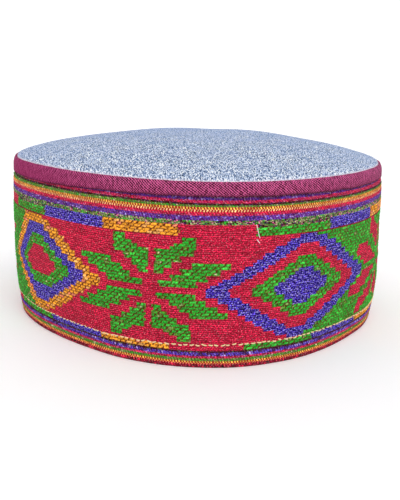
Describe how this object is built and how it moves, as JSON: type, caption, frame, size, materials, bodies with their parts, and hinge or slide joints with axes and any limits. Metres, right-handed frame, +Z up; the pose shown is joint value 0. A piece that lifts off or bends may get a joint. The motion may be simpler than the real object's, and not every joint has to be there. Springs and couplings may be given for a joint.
{
  "type": "kullu cap",
  "caption": "Round stiff-walled wool cap with a gently domed top, a wide woven border round the side and a tape-bound top edge.",
  "frame": {"origin": "the middle of the cap's footprint, on the surface it stands on", "axes": "+Z up from the rim to the top of the dome, the front of the cap faces -Y, +X to the right seen from the front"},
  "size_m": [0.1966, 0.1997, 0.094],
  "materials": {
    "grey_tweed": "matte tweed",
    "woven_border": "hand-woven border in several colours",
    "maroon_twill": "twill tape with a slight sheen"
  },
  "bodies": {
    "root": {"crown": "grey_tweed", "side_wall": "grey_tweed", "band": "woven_border", "top_binding": "maroon_twill"}
  },
  "joints": []
}
